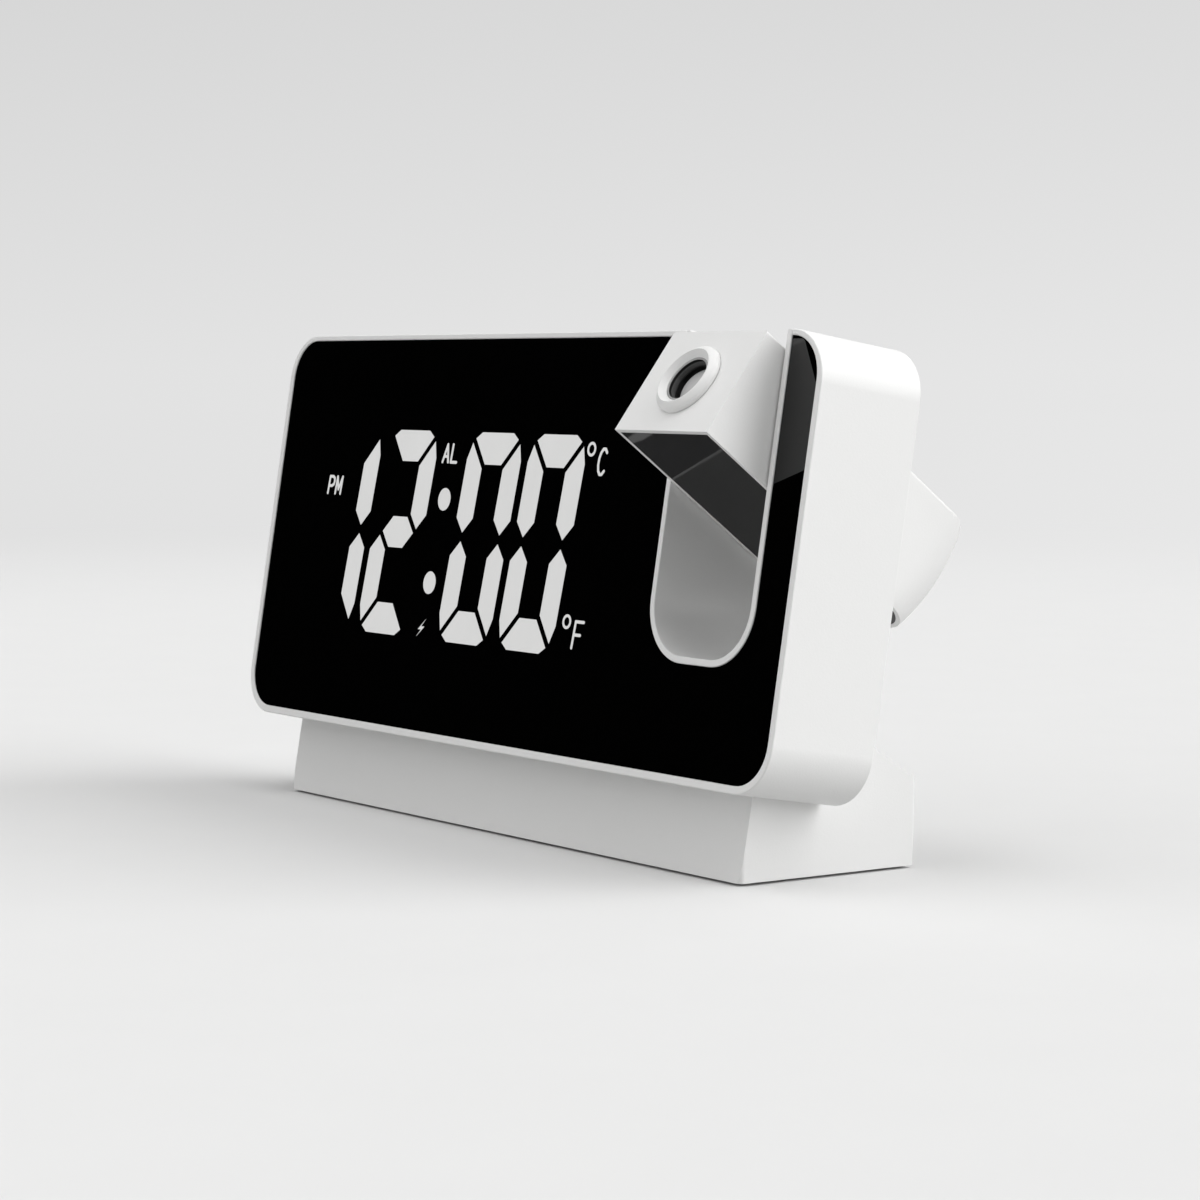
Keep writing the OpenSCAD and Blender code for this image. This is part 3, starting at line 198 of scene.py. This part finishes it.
def solder_mask(name):
    """Circuit board: green lacquer over copper runs and pads."""
    made = Finish(name, Roughness=0.35)
    edges = made.node("TexVoronoi", {"feature": "DISTANCE_TO_EDGE"},
                      {"Vector": made.spot(scale=(420, 420, 420)), "Scale": 1}, "Distance")
    run = made.ramp(edges, [(0.0, 1.0), (0.09, 0.0)])
    made.drive("Base Color", made.blend(run, (0.012, 0.09, 0.035), (0.05, 0.2, 0.06)))
    return made.bump(run, 0.03 * MM)


def plated(name, colour, rough):
    """Plated metal with fine drawn lines."""
    made = Finish(name, Metallic=1.0)
    lines = made.noise(1, 3, 0.6, made.spot(scale=(60, 60, 1400)))
    made.drive("Base Color", made.blend(lines, shade(colour, 0.85), colour))
    made.drive("Roughness", lines * 0.15 + rough)
    return made.bump(lines, 0.004 * MM)


def rubber(name, colour):
    made = Finish(name, Specular_IOR_Level=0.3)
    specks = made.noise(1800, 3, 0.7)
    made.drive("Base Color", made.blend(specks, colour, shade(colour, 1.9)))
    made.drive("Roughness", specks * 0.2 + 0.65)
    return made.bump(specks, 0.06 * MM)


def thin_film(name):
    made = Finish(name, Roughness=0.2)
    return made.drive("Base Color", made.blend(made.noise(500), (0.02, 0.03, 0.045),
                                               (0.04, 0.05, 0.06)))


def in_lens(finish):
    """Where a point lies from the lens's foot: across, and along the lens's axis."""
    offset = finish.vector("SUBTRACT", finish.spot(), LENS.translation)
    across = [finish.vector("DOT_PRODUCT", offset, line, "Value")
              for line in LENS.to_3x3().transposed()]
    return finish.node("CombineXYZ", None, dict(enumerate(across)))


# The pale panel behind the lens, painted into the glass's colour as painted light seen through it:
# where its middle lies beside the lens's axis, the reach of the ramp over it, and the places on that
# ramp where it starts to darken and where it is black
PAINTED_PANEL_AT, PAINTED_PANEL_REACH = Vector((1.5, -0.53, 0)), 5.0
PAINTED_PANEL_EDGE, PAINTED_PANEL_END = 0.85, 0.91


def lens_with_painted_panel(name):
    """Lens glass: the light of a pale panel behind it is painted into its colour, off its axis,
    within a black edge.
    """
    made = Finish(name, Roughness=0.12, Coat_Weight=0.3, Coat_Roughness=0.05)
    offset = made.vector("SUBTRACT", in_lens(made), PAINTED_PANEL_AT * MM)
    flat = made.vector("MULTIPLY", offset, (1, 1, 0))
    radius = made.vector("LENGTH", flat, output="Value")
    # Painted light: a pale off-centre disc on the glass stands for the lit panel seen through it
    painted_panel_tone = made.ramp(radius / (PAINTED_PANEL_REACH * MM),
                     [(0.0, 0.48), (PAINTED_PANEL_EDGE, 0.58), (PAINTED_PANEL_END, 0.012), (1.0, 0.004)])
    return made.drive("Base Color", painted_panel_tone)


# The barrel's bands, some painted paler as highlights, as heights along the lens's axis
PAINTED_BANDS_FROM, PAINTED_BANDS_SPAN = 22.0, 4.0


def barrel_with_painted_highlights(name):
    """Black lens barrel with painted highlights: its top land and a turned band between two black
    ones are painted paler where light catches them.
    """
    made = Finish(name, Roughness=0.5, Specular_IOR_Level=0.3)
    height = made.node("SeparateXYZ", None, {0: in_lens(made)}, "Z")
    level = (height / MM - PAINTED_BANDS_FROM) / PAINTED_BANDS_SPAN
    # Painted highlights: the top land (from 0.745) and the band from 0.4 to 0.59 are paler in place
    # of the light on them
    return made.drive("Base Color", made.ramp(level, [
        (0.0, 0.003), (0.37, 0.003), (0.4, 0.1), (0.59, 0.12), (0.62, 0.003), (0.735, 0.003),
        (0.745, 0.34)]))


FINISHES = {
    "white_shell": moulded("white_shell", (0.835, 0.835, 0.828), (0.805, 0.805, 0.798), 0.42),
    "button_white": moulded("button_white", (0.76, 0.76, 0.755), (0.71, 0.71, 0.706), 0.38),
    "window_black": glossy_sheet("window_black", (0.0004, 0.0004, 0.0004), 0.02,
                                 Specular_IOR_Level=0.42),
    "mirror_dark": glossy_sheet("mirror_dark", (0.006, 0.006, 0.0065), 0.04,
                                Specular_IOR_Level=0.11),
    "lit_segment": lit_plastic("lit_segment"),
    "reflector_white": moulded("reflector_white", (0.82, 0.82, 0.81), (0.76, 0.76, 0.75), 0.6),
    "circuit_board": solder_mask("circuit_board"),
    "led_chip": moulded("led_chip", (0.82, 0.76, 0.4), (0.75, 0.68, 0.32), 0.25),
    "steel": plated("steel", (0.62, 0.62, 0.63), 0.24),
    "black_plastic": moulded("black_plastic", (0.022, 0.022, 0.023), (0.014, 0.014, 0.015), 0.45),
    "barrel_black": barrel_with_painted_highlights("barrel_black"),
    "contact_brass": plated("contact_brass", (0.72, 0.56, 0.27), 0.22),
    "soft_rubber": rubber("soft_rubber", (0.022, 0.022, 0.023)),
    "trunnion_grey": moulded("trunnion_grey", (0.36, 0.36, 0.37), (0.31, 0.31, 0.32), 0.4),
    "lens_glass": lens_with_painted_panel("lens_glass"),
    "lcd_film": thin_film("lcd_film"),
}

slot_of = {part["node"]: part["material_slot"] for part in frame["record"]["subparts"]}
body_of = {node: body for body, nodes in frame["record"]["behaviour"]["bodies"].items()
           for node in nodes}

for node, obj in frame["nodes"].items():
    if not obj.material_slots:
        obj.data.materials.append(None)
    for place in obj.material_slots:
        place.link = "OBJECT"
        place.material = FINISHES[slot_of[node]].material

# ---------------------------------------------------------------- shapes

WELD = 0.002 * MM
FLAT, CREASE = math.radians(0.3), math.radians(30)
ON_FACE = 0.05  # how near to a face a point counts as on it


def whole_faces(node):
    """A CAD node's shape with its loose triangles joined into whole faces."""
    bm = bmesh.new()
    bm.from_mesh(frame["nodes"][node].data)
    bmesh.ops.remove_doubles(bm, verts=bm.verts, dist=WELD)
    bmesh.ops.dissolve_limit(bm, angle_limit=FLAT, use_dissolve_boundaries=False,
                             verts=bm.verts, edges=bm.edges, delimit=set())
    return bm


def ease(bm, width, where=None, segments=3):
    """Rounds the sharp edges that lie where it says, by a width in millimetres."""
    sharp = [e for e in bm.edges if len(e.link_faces) == 2 and e.calc_face_angle(0) > CREASE
             and (where is None or all(where(v.co) for v in e.verts))]
    bmesh.ops.bevel(bm, geom=sharp, offset=width * MM, offset_type="OFFSET", segments=segments,
                    profile=0.5, affect="EDGES", material=-1, clamp_overlap=True)
    return bm


def finish_piece(bm, name, *nodes):
    """Makes the mesh a piece of the clock that stands for the named nodes."""
    mesh = bpy.data.meshes.new(name)
    bm.to_mesh(mesh)
    bm.free()
    mesh.polygons.foreach_set("use_smooth", [True] * len(mesh.polygons))
    mesh.set_sharp_from_angle(angle=CREASE)
    piece = bpy.data.objects.new(name, mesh)
    bpy.context.scene.collection.objects.link(piece)
    even = piece.modifiers.new("even_shading", "WEIGHTED_NORMAL")
    even.keep_sharp = True
    mesh.materials.append(FINISHES[slot_of[nodes[0]]].material)
    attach(piece, body_of[nodes[0]])
    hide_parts(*nodes)


def eased(node, name, width, where=None):
    """Makes a CAD node's shape with eased edges a piece that stands for the node."""
    finish_piece(ease(whole_faces(node), width, where), name, node)


def turned(profile, steps=96, closed=True):
    """A profile of (radius, height) points, in millimetres, turned about the lens's axis."""
    bm = bmesh.new()
    points = [bm.verts.new((r * MM, 0, h * MM)) for r, h in profile]
    ends = points[1:] + points[:1] if closed else points[1:]
    lines = [bm.edges.new(pair) for pair in zip(points, ends)]
    bmesh.ops.spin(bm, geom=points + lines, cent=(0, 0, 0), axis=(0, 0, 1), angle=2 * math.pi,
                   steps=steps, use_merge=True)
    bmesh.ops.remove_doubles(bm, verts=bm.verts, dist=WELD)
    bmesh.ops.recalc_face_normals(bm, faces=bm.faces)
    bm.transform(LENS)
    return bm


def on_body(test):
    """A test of a point by its place across, behind and up the body, in millimetres."""
    return lambda point: test(*((IN_BODY @ point) / MM))


def on_arm(test):
    """A test of a point by its place across, behind and along the arm, in millimetres."""
    return lambda point: test(*((IN_ARM @ point) / MM))


front_or_rear = on_body(lambda x, w, v: w < ON_FACE or w > BODY_D - ON_FACE)
rear_face = on_body(lambda x, w, v: w > BODY_D - ON_FACE)
proud_of_rear = on_body(lambda x, w, v: w > BODY_D + ON_FACE)
top_face = on_body(lambda x, w, v: v > BODY_H - ON_FACE)
slot_lips = on_body(lambda x, w, v: v > BODY_H - ON_FACE and SNOOZE_SLOT[0] < w < SNOOZE_SLOT[1])
mirror_side = on_arm(lambda x, t, a: t < ARM_FRONT + ON_FACE)
lens_face = on_arm(lambda x, t, a: a > ARM_TOP - ON_FACE)

# Housing: the front rim, the rear edge, and the lips of the slots at its top
eased("main_housing", "housing_moulding", 0.3, lambda point: front_or_rear(point)
      or slot_lips(point))
eased("channel_liner", "channel_moulding", 0.2, front_or_rear)
eased("rear_cover", "rear_cover_moulding", 0.2, rear_face)
eased("snooze_bar", "snooze_bar_moulding", 0.35, top_face)
for word in ("mode", "alarm", "down", "up", "projector"):
    eased(word + "_button", word + "_button_cap", 0.15, proud_of_rear)
eased("cell_door", "cell_door_moulding", 0.15, rear_face)

# Base: every outer edge. Inside, its walls stay as they are.
BASE_SKIN, BASE_SHOULDER = 2.4, 14.0
base_low, base_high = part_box("base_shell")


def base_outside(point):
    """Whether a point lies in the base's outer skin, or above its shoulder."""
    near = [min(point[i] - base_low[i], base_high[i] - point[i]) < BASE_SKIN * MM for i in (0, 1)]
    return any(near) or point[2] > BASE_SHOULDER * MM


eased("base_shell", "base_moulding", 0.35, base_outside)
eased("base_cover", "base_cover_moulding", 0.2)
eased("rubber_pad", "rubber_pad_cut", 0.15)

# Arm: the lip round the mirror and the edges of the lens face
eased("arm_shell", "arm_moulding", 0.25, lambda point: mirror_side(point) or lens_face(point))
eased("mirror_plate", "mirror_glass", 0.15, mirror_side)

# Lens: focus ring, stepped black barrel and domed glass. Heights are along the lens's axis.
RING_BORE, RING_NECK, RING_FLANGE, RING_OUT = 4.75, 5.85, 6.65, 7.1
RING_FOOT, RING_FLANGE_T, RING_GAP = 21.6, 1.0, 0.1
RING_HEAD = [(RING_OUT, 0.6), (7.0, 0.95), (6.75, 1.25), (6.05, 1.83), (RING_NECK, 1.9)]
BARREL_FOOT, BARREL_TOP, BARREL_R = 14.0, 25.0, 4.7
BARREL_STEPS = [(4.3, BARREL_TOP), (4.3, 24.4), (4.15, 24.4), (4.15, 23.5), (3.95, 23.5),
                (3.95, 22.75), (3.82, 22.75)]
SEAT_R, SEAT = 3.3, BARREL_TOP - 3.4
DOME, DOME_R, DOME_H, DOME_STEPS = 12.3, 3.8, 1.8, 12

flange_top, ring_seat = RING_FOOT + RING_FLANGE_T, ARM_TOP + RING_GAP
ring = [(RING_BORE, RING_FOOT), (RING_FLANGE, RING_FOOT), (RING_FLANGE, flange_top),
        (RING_NECK, flange_top), (RING_NECK, ring_seat), (RING_OUT, ring_seat)]
ring += [(r, ARM_TOP + h) for r, h in RING_HEAD]
ring += [(RING_BORE, BARREL_TOP + RING_GAP)]
finish_piece(ease(turned(ring), 0.06, segments=2), "focus_ring_turned", "focus_ring")

barrel = [(BARREL_R, BARREL_FOOT), (BARREL_R, BARREL_TOP), *BARREL_STEPS,
          (BARREL_STEPS[-1][0], SEAT), (SEAT_R, SEAT), (SEAT_R, BARREL_FOOT)]
finish_piece(ease(turned(barrel), 0.04, segments=2), "barrel_turned", "lens_barrel")

radii = [DOME_R * i / DOME_STEPS for i in range(DOME_STEPS, -1, -1)]
arc = [(r, SEAT + DOME_H - DOME + math.sqrt(DOME ** 2 - r ** 2)) for r in radii]
finish_piece(turned([(0, SEAT), (DOME_R, SEAT)] + arc, closed=False), "lens_dome",
             "projection_lens")

# ---------------------------------------------------------------- floor, backdrop and light

AZIMUTH, ELEVATION, DISTANCE = math.radians(55.15), math.radians(4.09), 0.65001
FOCAL, SENSOR, AIM = 97.77, 36.0, Vector((-0.03, 5.81, 44.96))
# How far off the floor starts to turn into the backdrop, and where it is all backdrop, in metres
FLOOR_R, FLOOR_NEAR, FLOOR_FAR = 6.0, 0.5, 1.25
# The backdrop's grey at the horizon and higher up, how high that is, and its drift to the right
HORIZON, UPPER, UPPER_AT, DRIFT, RIGHT = 0.775, 0.695, 0.11, 0.09, (0.57, 0.82, 0)
ROOM = (0.2, 0.2, 0.2)
# Each lamp's name, strength, spread in degrees and the side that it stands on
LAMPS = [("key", 2.36, 60, (0.67, 0.5, 0.5)),
         ("overhead", 1.03, 60, (0.1, 0.0, 0.995)),
         ("fill", 1.27, 80, (-0.3, -0.68, 0.67))]
CARD_TOWARDS, CARD_AWAY, CARD_UP = Vector((-0.818, -0.563, 0.115)), 0.7, 0.05
CARD_SIZE = (1.1, 0.75, 1)


def place(name, data):
    """Puts a new object into the scene."""
    obj = bpy.data.objects.new(name, data)
    bpy.context.scene.collection.objects.link(obj)
    return obj


def place_sheet(name, bm, paint):
    """Puts a sheet of the set into the scene with its paint on."""
    mesh = bpy.data.meshes.new(name)
    bm.to_mesh(mesh)
    bm.free()
    mesh.materials.append(paint.material)
    return place(name, mesh)


def seen_directly(finish):
    """1 for the camera, for mirror-like reflections and through glass, and 0 for plain light."""
    camera, glossy, through = [finish.node("LightPath", output="Is %s Ray" % kind)
                               for kind in ("Camera", "Glossy", "Transmission")]
    total = camera + glossy + through
    return total.maths("MINIMUM", total, 1.0)


def backdrop_colour(finish, direction):
    """Pale grey, lighter towards the floor and towards the right."""
    up = finish.node("SeparateXYZ", None, {0: direction}, "Z")
    side = finish.vector("DOT_PRODUCT", direction, RIGHT, "Value")
    return finish.span(up, 0.0, UPPER_AT, HORIZON, UPPER) + side * DRIFT


def lay_floor():
    """A pale table top that turns into the backdrop far from the clock."""
    bm = bmesh.new()
    bmesh.ops.create_circle(bm, cap_ends=True, segments=96, radius=FLOOR_R)
    paint = Finish("table_paint", Roughness=0.9, Specular_IOR_Level=0.1)
    shown = paint.blend(paint.noise(40, 2), (0.705, 0.705, 0.703), (0.72, 0.72, 0.717))
    bounced = paint.node("LightPath", output="Is Diffuse Ray")
    paint.drive("Base Color", paint.blend(bounced, shown, (0.48, 0.48, 0.478)))
    spot = paint.spot()
    away = paint.vector("LENGTH", spot, output="Value")
    far = paint.span(away, FLOOR_NEAR, FLOOR_FAR, 0.0, 1.0, "SMOOTHSTEP")
    direction = paint.vector("NORMALIZE", spot)
    glow = paint.node("Emission", None, {"Color": backdrop_colour(paint, direction)}, "Emission")
    surface = paint.node("MixShader", None, {0: far * seen_directly(paint),
                                             1: Link(paint, paint.shader.outputs[0]), 2: glow})
    paint.set(paint.tree.nodes["Material Output"].inputs[0], surface)
    place_sheet("table_top", bm, paint)


def light_room():
    """The backdrop, plain light from all round, and the lamps."""
    world = bpy.data.worlds.new("studio")
    world.use_nodes = True
    bpy.context.scene.world = world
    world.node_tree.nodes.clear()
    room = Finish("studio", tree=world.node_tree)
    direction = room.node("TexCoord", output="Generated")
    shown = room.node("Background", None, {"Color": backdrop_colour(room, direction)})
    plain = room.node("Background", None, {"Color": ROOM})
    both = room.node("MixShader", None, {0: seen_directly(room), 1: plain, 2: shown})
    room.set(room.tree.nodes.new("ShaderNodeOutputWorld").inputs[0], both)
    for name, energy, spread, towards in LAMPS:
        lamp = place(name, bpy.data.lights.new(name, "SUN"))
        lamp.data.energy, lamp.data.angle = energy, math.radians(spread)
        lamp.rotation_euler = Vector(towards).to_track_quat("Z", "Y").to_euler()
        lamp.visible_glossy = name != "fill"


def hang_dark_card():
    """A dark card that only mirror-like reflections meet. It keeps the window black."""
    towards = CARD_TOWARDS.normalized()
    bm = bmesh.new()
    bmesh.ops.create_grid(bm, x_segments=1, y_segments=1, size=0.5)
    bmesh.ops.scale(bm, vec=CARD_SIZE, verts=bm.verts)
    turn = towards.to_track_quat("Z", "Y").to_matrix().to_4x4()
    bm.transform(Matrix.Translation(towards * CARD_AWAY + Vector((0, 0, CARD_UP))) @ turn)
    felt = Finish("dark_felt", Roughness=1.0, Specular_IOR_Level=0.0)
    felt.drive("Base Color", felt.blend(felt.noise(30), (0.001,) * 3, (0.002,) * 3))
    card = place_sheet("dark_card", bm, felt)
    card.visible_camera = card.visible_diffuse = card.visible_shadow = False
    card.visible_transmission = False


def set_camera():
    camera = place("camera", bpy.data.cameras.new("camera"))
    camera.data.sensor_fit, camera.data.sensor_width = "HORIZONTAL", SENSOR
    camera.data.lens = FOCAL
    camera.data.clip_start, camera.data.clip_end = 0.01, 50
    away = Vector((math.sin(AZIMUTH) * math.cos(ELEVATION),
                   -math.cos(AZIMUTH) * math.cos(ELEVATION), math.sin(ELEVATION)))
    camera.location = AIM * MM + away * DISTANCE
    camera.rotation_euler = away.to_track_quat("Z", "Y").to_euler()
    bpy.context.scene.camera = camera


lay_floor()
light_room()
hang_dark_card()
set_camera()
bpy.context.scene.view_settings.view_transform = "Standard"

bpy.context.view_layer.update()
